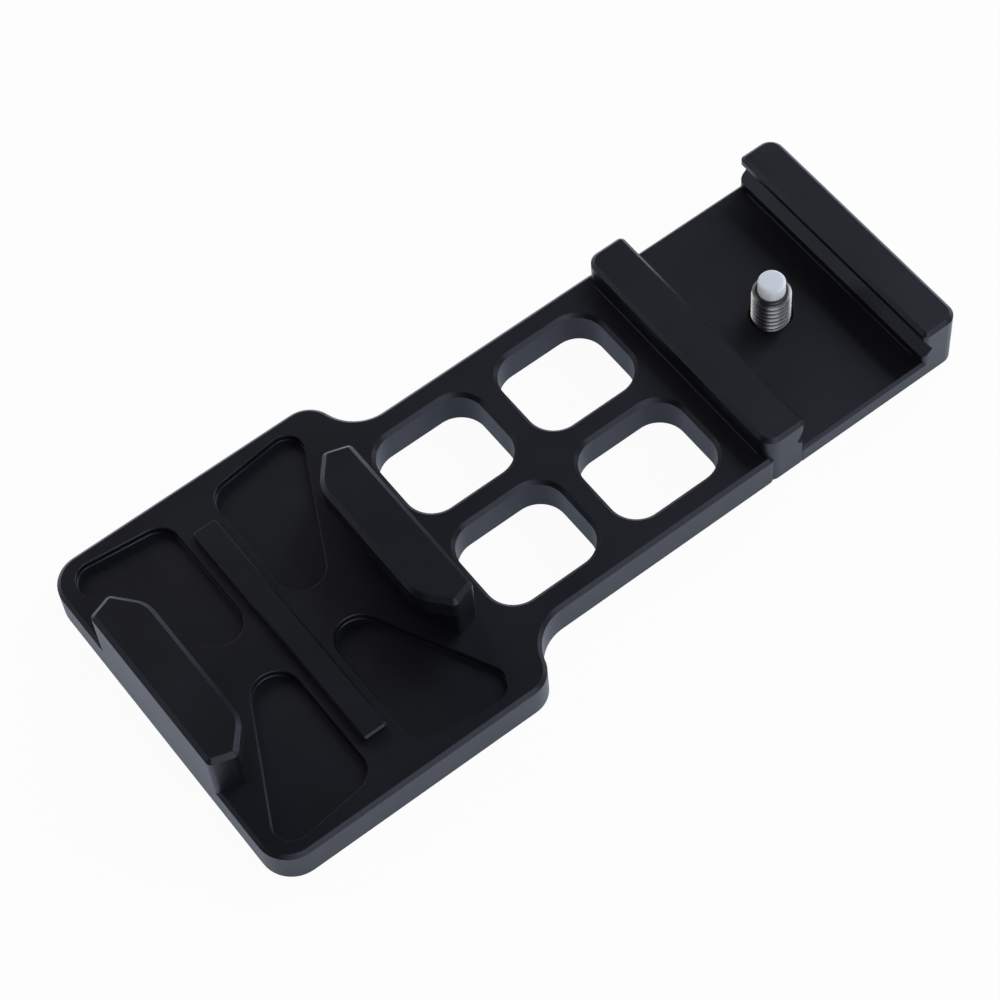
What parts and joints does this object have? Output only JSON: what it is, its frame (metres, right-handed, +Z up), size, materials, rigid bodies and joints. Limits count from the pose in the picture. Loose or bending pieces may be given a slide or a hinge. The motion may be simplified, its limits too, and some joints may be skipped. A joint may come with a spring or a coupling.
{
  "type": "action camera rail mount",
  "caption": "Milled plate that carries an action camera on an accessory rail: lipped buckle track on a wide head, windowed neck and V-groove clamp locked by a soft-tipped set screw.",
  "frame": {"origin": "middle of the bounding box of the mount, on its flat underside", "axes": "+X along the mount from the buckle track to the rail clamp, +Y along the rail and the buckle track, +Z up from the underside"},
  "size_m": [0.1068, 0.0492, 0.013],
  "materials": {
    "black_anodised": "black anodised, fine satin",
    "bright_steel": "bright rolled thread",
    "white_nylon": "slightly translucent white"
  },
  "bodies": {
    "plate": {"plate_body": "black_anodised"},
    "screw": {"set_screw": "bright_steel", "nylon_tip": "white_nylon"}
  },
  "joints": [
    {"name": "screw_travel", "type": "slide", "parent": "plate", "child": "screw", "axis": [0, 0, 1], "range_m": [-0.0064, 0.0008]}
  ]
}
